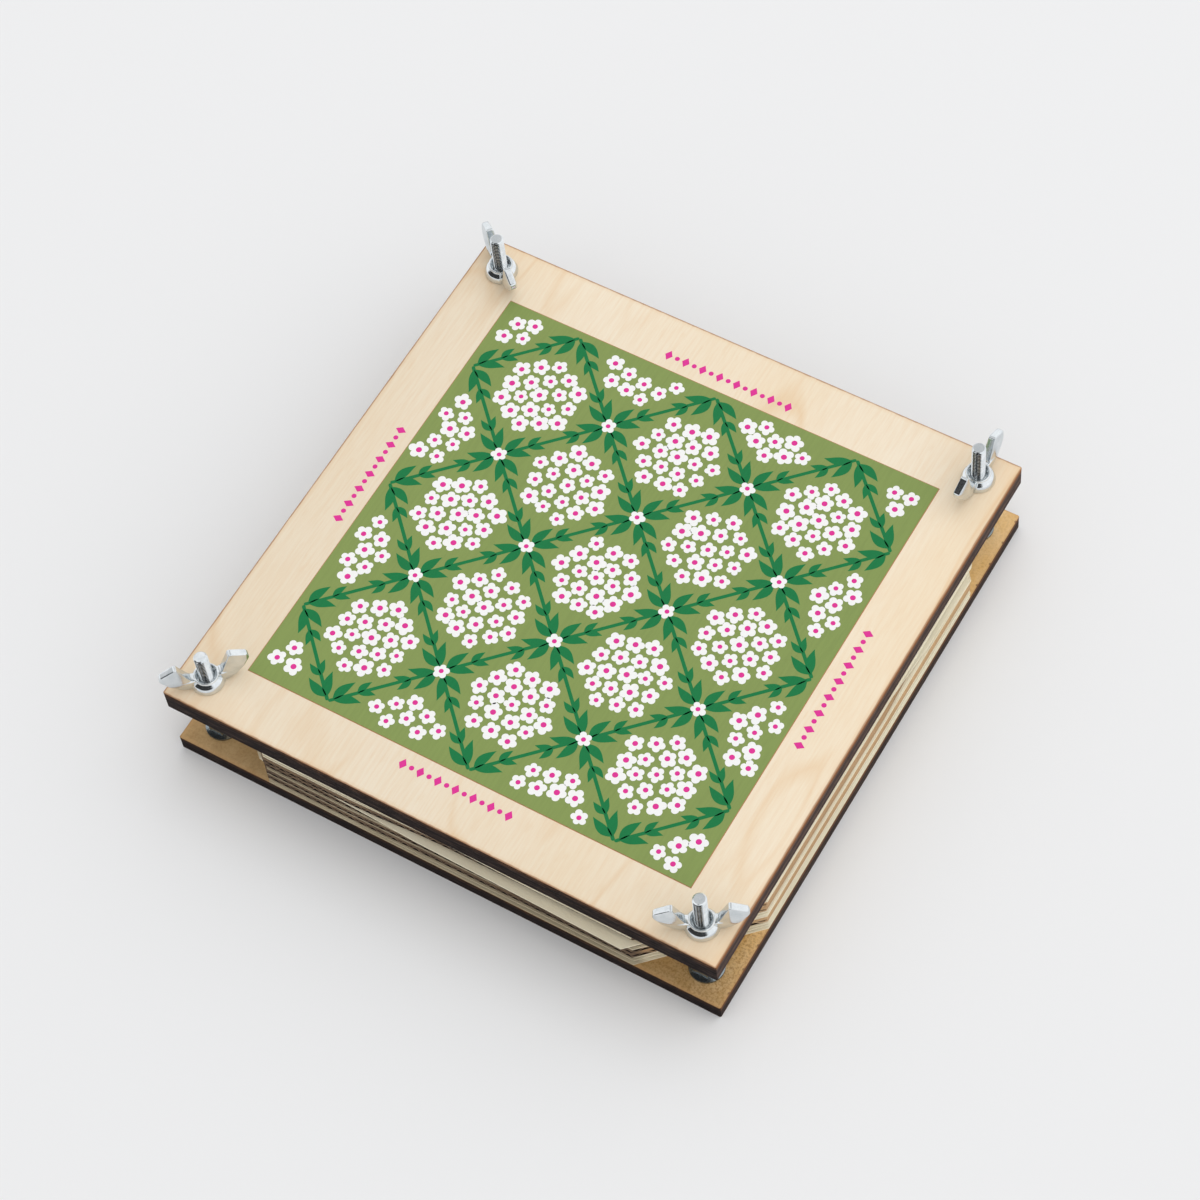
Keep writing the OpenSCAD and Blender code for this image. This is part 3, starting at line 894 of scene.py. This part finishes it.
# Underside of each card above the lower board: in the middle of the front and back, in the
# middle of the two sides, and at the cut corners on the left and on the right
CARD_FRONT = np.array([3.30, 7.20, 10.05, 14.20]) * MM
CARD_SIDE = np.array([3.90, 6.20, 9.80, 12.90]) * MM
CARD_LEFT_CORNER = np.array([2.05, 5.30, 9.15, 11.80]) * MM
CARD_RIGHT_CORNER = np.array([4.10, 6.60, 10.40, 13.00]) * MM
PACK_TOP = top_low[2] - base_high[2]
CORNER_DROP = 0.4 * MM
# Shares of the free height under, between and over the sheets of each group: a group rests on
# the card below it, and only the lowest and the topmost group are spread evenly
GAP_SHARES = {
    "bottom": (0.1, 1, 1, 1, 0.6), "lower": (0.1, 0.3, 1.2), "middle": (0.2, 0.5, 0.8),
    "upper": (0.05, 0.2, 3), "top": (0.5, 1, 1, 1, 0.4),
}

leaf_nodes = [n for n in BODY_OF if "_sheet_" in n or n.startswith("card_")]
leaf_nodes.sort(key=lambda n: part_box(n)[0][2])


def leaf_place(node):
    """Centre, turn, half side and half straight edge of a leaf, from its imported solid: the turn
    is the angle at which the solid's box is narrowest."""
    mesh = frame["nodes"][node].data
    co = np.zeros(len(mesh.vertices) * 3, np.float32)
    mesh.vertices.foreach_get("co", co)
    flat = np.unique(co.reshape(-1, 3)[:, :2].round(6), axis=0)
    turns = np.radians(np.linspace(-2, 2, 401))
    across = flat[:, :1] * np.cos(turns) + flat[:, 1:] * np.sin(turns)
    turn = turns[np.ptp(across, axis=0).argmin()]
    centre = (flat.max(0) + flat.min(0)) / 2
    c, s = math.cos(turn), math.sin(turn)
    own = (flat - centre) @ np.array([[c, -s], [s, c]])
    half = np.abs(own[:, 0]).max()
    straight = np.abs(own[own[:, 1] > half - 0.2 * MM, 0]).max()
    return centre, turn, half, straight


def cornerness(x, y):
    """0 in the middle of the pack and of its sides, 1 at the cut corners."""
    share = np.clip((np.abs(x) + np.abs(y) - 0.98 * HALF_SIDE) / (0.42 * HALF_SIDE), 0, 1)
    return share ** 2 * (3 - 2 * share)


def ripple(x, y, seed):
    """Gentle waves with a different phase for each leaf, about -1 to 1."""
    p = seed * 1.7
    return 0.5 * np.sin(x * 41 + p) * np.cos(y * 33 - 2.1 * p) + 0.5 * np.sin((x + y) * 23 + 3.3 * p)


def card_floor(g, x, y):
    """Height of the underside of card g, 0 to 3, and of the upper board's underside for g = 4."""
    c = cornerness(x, y)
    if g == 4:
        return PACK_TOP - CORNER_DROP * c
    if g < 0:
        return np.zeros_like(x) - CARD_T
    to_front = y ** 2 / (x ** 2 + y ** 2 + (10 * MM) ** 2)
    level = CARD_SIDE[g] + (CARD_FRONT[g] - CARD_SIDE[g]) * to_front
    corner = CARD_LEFT_CORNER[g] + (CARD_RIGHT_CORNER[g] - CARD_LEFT_CORNER[g]) * (x > 0)
    return level + (corner - level) * c + 0.12 * MM * ripple(x, y, g + 20)


def leaf_floor(k, x, y):
    """Height of the underside of leaf k, counted from the bottom. The sheets between two cards
    share the free height there, in gaps that swell and shrink along the edges."""
    name = leaf_nodes[k]
    if name.startswith("card_"):
        return card_floor(int(name[-1]) - 1, x, y)
    group, _, place = name.split("_")
    g = list(GAP_SHARES).index(group) - 1
    shares = GAP_SHARES[group]
    floor = card_floor(g, x, y) + CARD_T
    gaps = [share * (1 + 0.6 * ripple(x, y, 5.3 * g + i)) for i, share in enumerate(shares)]
    free = card_floor(g + 1, x, y) - floor - (len(shares) - 1) * PAPER_T
    mine = int(place)
    height = free * sum(gaps[:mine]) / sum(gaps)
    if name == "upper_sheet_2":
        lifted = np.clip((-x - 4 * MM) / (24 * MM), 0, 1) * 0.75
        height = height + (free - height) * lifted
    return floor + (mine - 1) * PAPER_T + height


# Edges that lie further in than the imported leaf: the side, the places along it and how far it
# lies in there, all in millimetres
DRAWN_IN = {
    "bottom_sheet_2": [("front", (0,), (0.3,))], "bottom_sheet_3": [("front", (0,), (0.8,))],
    "bottom_sheet_4": [("front", (0,), (1.3,))], "lower_sheet_1": [("front", (0,), (0.3,))],
    "lower_sheet_2": [("front", (0,), (0.9,))], "middle_sheet_1": [("front", (0,), (0.3,))],
    "middle_sheet_2": [("front", (0,), (0.9,))],
    "card_2": [("right", (0,), (1.2,))], "card_3": [("right", (8, 34), (0.3, 1.4))],
    "card_4": [("right", (0, 28), (0, 1.6)), ("front", (-20, 25), (0, 0.9))],
    "upper_sheet_1": [("right", (-70, -12, 2, 36), (0, 1.8, 1.8, 0)), ("front", (-30, -5), (0, 0.8))],
    "upper_sheet_2": [
        ("right", (-70, -12, 2, 36), (0, 1.8, 1.8, 0)), ("front", (-62, -54, -40, -8), (0, 1.2, 1.2, 0)),
    ],
}


def leaf_grid(node, columns, rows):
    """Places of a grid on a leaf, from its column and row shares: columns are straight lines
    along its flutes, cut short by the cut corners, so the reach in Y falls by as much as |x|
    passes the straight edge. An edge that is drawn in takes the leaf's half on its side along,
    less and less towards the middle."""
    centre, turn, half, straight = leaf_place(node)
    x = columns * half
    reach = half - np.clip(np.abs(x) - straight, 0, None)
    own_x = np.broadcast_to(x[None], (len(rows), len(x)))
    own_y = rows[:, None] * reach[None]
    for side, places, depths in DRAWN_IN.get(node, ()):
        if side == "front":
            own_y = own_y + np.interp(own_x / MM, places, depths) * MM * np.clip(-own_y / half, 0, 1) ** 4
        else:
            own_x = own_x - np.interp(own_y / MM, places, depths) * MM * np.clip(own_x / half, 0, 1) ** 4
    c, s = math.cos(turn), math.sin(turn)
    return centre[0] + own_x * c - own_y * s, centre[1] + own_x * s + own_y * c, own_x


def slab(x, y, low, high):
    """A closed slab between two height fields on one grid, with walls round its edge."""
    rows, columns = x.shape
    top = np.stack([x, y, high], -1).reshape(-1, 3)
    bottom = np.stack([x, y, low], -1).reshape(-1, 3)
    n = rows * columns
    quads = grid_quads(rows, columns)
    i = np.arange(n).reshape(rows, columns)
    rim = np.concatenate([i[0], i[1:, -1], i[-1, -2::-1], i[-2:0:-1, 0]])
    nxt = np.roll(rim, -1)
    wall = np.stack([rim, nxt, nxt + n, rim + n], 1)
    return np.concatenate([top, bottom]), np.concatenate([quads, (quads + n)[:, ::-1], wall])


def fold_columns(node):
    """Column shares of a leaf with a column on each end of the straight edge."""
    _, _, half, straight = leaf_place(node)
    inner = np.linspace(-straight, straight, 41)
    outer = np.linspace(straight, half, 9)[1:]
    return np.concatenate([-outer[::-1], inner, outer]) / half


def sheet_piece(node, k):
    """A blotting sheet that follows its warped floor, with a slightly uneven edge."""
    x, y, _ = leaf_grid(node, fold_columns(node), np.linspace(-1, 1, 49))
    low = base_high[2] + leaf_floor(k, x, y)
    return make_mesh("blotting_" + node, *joined([slab(x, y, low, low + PAPER_T)]), smooth_angle=30)


def card_piece(node, k):
    """A corrugated card: two facings and between them a wave, z = a sin(2 pi x / pitch). The number that
    marks its inside, where the material paints shade into the flutes, falls to 0 at the two closed sides."""
    x, y, own = leaf_grid(node, fold_columns(node), np.linspace(-1, 1, 49))
    low = base_high[2] + leaf_floor(k, x, y)
    facings = [slab(x, y, low, low + LINER_T), slab(x, y, low + CARD_T - LINER_T, low + CARD_T)]
    _, _, half, _ = leaf_place(node)
    # Share of painted shade inside the card, on the facings and on the wave
    facing_shade_share = np.clip((half - np.abs(own)) / (3 * MM), 0, 1).ravel()
    marks = [facing_shade_share, 0 * facing_shade_share, 0 * facing_shade_share, facing_shade_share]
    waves = int(2 * half / FLUTE_PITCH)
    cut = 0.45 * MM / half
    rows = np.concatenate([[-1], np.linspace(cut - 1, 1 - cut, 25), [1]])
    x, y, own = leaf_grid(node, np.linspace(-1, 1, waves * 14 + 1) * (1 - 0.2 * MM / half), rows)
    low = base_high[2] + leaf_floor(k, x, y)
    swing = (CARD_T - 2 * LINER_T - WAVE_T) / 2
    middle = low + CARD_T / 2 + swing * np.sin(2 * np.pi * own / FLUTE_PITCH)
    wave = slab(x, y, middle - WAVE_T / 2, middle + WAVE_T / 2)
    wave_shade_share = np.clip((half - np.abs(own)) / (3 * MM), 0, 1) * (np.abs(rows) < 1)[:, None]
    marks = np.concatenate([*marks, np.tile(wave_shade_share.ravel(), 2)])
    return make_mesh("corrugated_" + node, *joined(facings + [wave]), smooth_angle=40, inside=marks)


def paper(name, pale, shade, fibre, front_shade_colour, front_shade_top, flute_shade=None):
    """Soft unglazed paper or kraft board with fibres and faint clouds. Shade is painted on the front
    edges, mostly below a given height, and above it a band of painted shadow lies a little behind them,
    where the upper board shades the pack. A board's inside, which its mesh marks, is painted in a dark
    colour as the shade in its flutes."""
    made, finish = material(name)
    vector, _, y, z = finish.place()
    cloud = finish.noise(vector, 60, detail=3)
    fibres = finish.noise(vector, 1500, (1, 1, 3), detail=4, roughness=0.7)
    colour = finish.mix(cloud.ramp(0.35, 0.7) * 0.5, pale, shade)
    colour = finish.mix(fibres.ramp(0.5, 0.8) * fibre, colour, shade)
    # Painted shade: the front edges are darkened, and above the given height a band of painted shadow
    # lies a few millimetres behind the front edge
    upper = z.ramp(front_shade_top - 1 * MM, front_shade_top)
    front_shade = (y * -1).ramp(HALF_SIDE - 3.2 * MM, HALF_SIDE - 1.4 * MM) * (1 - upper * 0.92)
    behind = y + HALF_SIDE
    front_shade = front_shade.over(behind.ramp(0.0, 4.0 * MM) * (1 - behind.ramp(6 * MM, 10 * MM)) * upper * 0.8)
    colour = finish.mix(front_shade * (0.5 + cloud * 0.5), colour, front_shade_colour)
    # Painted shade: the marked inside of a card is darkened, as its flutes lie in shade
    if flute_shade:
        mark = finish.node("ShaderNodeAttribute", {"attribute_name": "inside"}, output="Fac")
        colour = finish.mix(mark.ramp(0.1, 0.7), colour, flute_shade)
    finish.surface(colour, 0.88, fibres, 0.03 * MM, specular=0.2)
    return made


# The sheets and cards get painted shade on their front edges, and the cards also inside their flutes
blotting = paper("blotting_paper", PAPER, PAPER_SHADE, 0.5, PAPER_FRONT_SHADE, 14.5 * MM)
kraft = paper("kraft_card", KRAFT, KRAFT_SHADE, 0.7, KRAFT_FRONT_SHADE, 30 * MM, FLUTE_PAINTED_SHADE)
for k, node in enumerate(leaf_nodes):
    if node.startswith("card_"):
        dress(card_piece(node, k), kraft, BODY_OF[node], "corrugated_card", node)
    else:
        dress(sheet_piece(node, k), blotting, BODY_OF[node], "blotting_paper", node)

# Floor, light and camera

FLOOR_HALF = 6
CAMERA_AZIMUTH = math.radians(37.483)
CAMERA_ELEVATION = math.radians(58.807)
CAMERA_ROLL = math.radians(-8.263)
CAMERA_DISTANCE = 933.57 * MM
CAMERA_LENS = 104.16
AIM = np.array([4.271 * MM, -5.222 * MM, top_high[2]])
KEY_POWER = 9.5
KEY_WIDTH, KEY_DEPTH, KEY_DISTANCE = 2.0, 1.6, 2.4

floor_finish, finish = material("floor")
finish.surface(FLOOR, 0.9, specular=0.0)
floor_mesh = bpy.data.meshes.new("floor")
floor_corners = [(x * FLOOR_HALF, y * FLOOR_HALF, 0) for x, y in square.tolist()]
floor_mesh.from_pydata(floor_corners, [], [(0, 1, 2, 3)])
floor_mesh.materials.append(floor_finish)
floor = linked("floor", floor_mesh)


def direction(azimuth, elevation):
    """Unit vector from the object towards an azimuth, counted from the front to the right."""
    flat = math.cos(elevation)
    return np.array([flat * math.sin(azimuth), -flat * math.cos(azimuth), math.sin(elevation)])


def looking(obj, place, aim, roll=0.0):
    """Puts a camera or a lamp at a place, looking at a point, turned about its own axis."""
    facing = (Vector(aim) - Vector(place)).to_track_quat("-Z", "Y").to_matrix().to_4x4()
    obj.matrix_world = Matrix.Translation(Vector(place)) @ facing @ Matrix.Rotation(roll, 4, "Z")


lens = bpy.data.cameras.new("camera")
lens.sensor_width, lens.lens, lens.clip_start = 36.0, CAMERA_LENS, 0.05
camera = linked("camera", lens)
to_camera = direction(CAMERA_AZIMUTH, CAMERA_ELEVATION)
looking(camera, AIM + to_camera * CAMERA_DISTANCE, AIM, CAMERA_ROLL)
bpy.context.scene.camera = camera

key_light = bpy.data.lights.new("key", "AREA")
key_light.shape, key_light.energy = "RECTANGLE", KEY_POWER
key_light.size, key_light.size_y = KEY_WIDTH, KEY_DEPTH
key = linked("key", key_light)
looking(key, direction(math.radians(170), math.radians(70)) * KEY_DISTANCE, (0, 0, 0))
key.visible_glossy = False

world = bpy.data.worlds.new("studio")
world.use_nodes = True
bpy.context.scene.world = world
sky = Finish(world.node_tree)
toward = sky.node("ShaderNodeTexCoord", output="Generated")


def nearness(azimuth, elevation):
    """Cosine of the angle between a ray and a fixed direction, given in degrees."""
    way = direction(math.radians(azimuth), math.radians(elevation))
    inputs = {0: toward, 1: tuple(way)}
    return sky.node("ShaderNodeVectorMath", {"operation": "DOT_PRODUCT"}, inputs, output="Value")


# Soft light, stronger from the right. Metal mirrors white instead, with two dark parts and a
# grey one, as a room has them.
soft_light = 0.79 + nearness(110, 20) * 0.42
dark_part = nearness(8, 54).ramp(0.845, 0.885).over(nearness(-52, 44).ramp(0.885, 0.925))
grey_part = nearness(208, 58).ramp(0.981, 0.986)
mirrored = 1.16 - dark_part * 1.12 - grey_part * 0.46
gloss = sky.node("ShaderNodeLightPath", output="Is Glossy Ray")
strength = soft_light + (mirrored - soft_light) * gloss
tint = (0.985, 0.99, 1.0, 1.0)
background = sky.node("ShaderNodeBackground", inputs={"Color": tint, "Strength": strength})
sky.node("ShaderNodeOutputWorld", inputs={"Surface": background})

bpy.context.scene.view_settings.view_transform = "Standard"
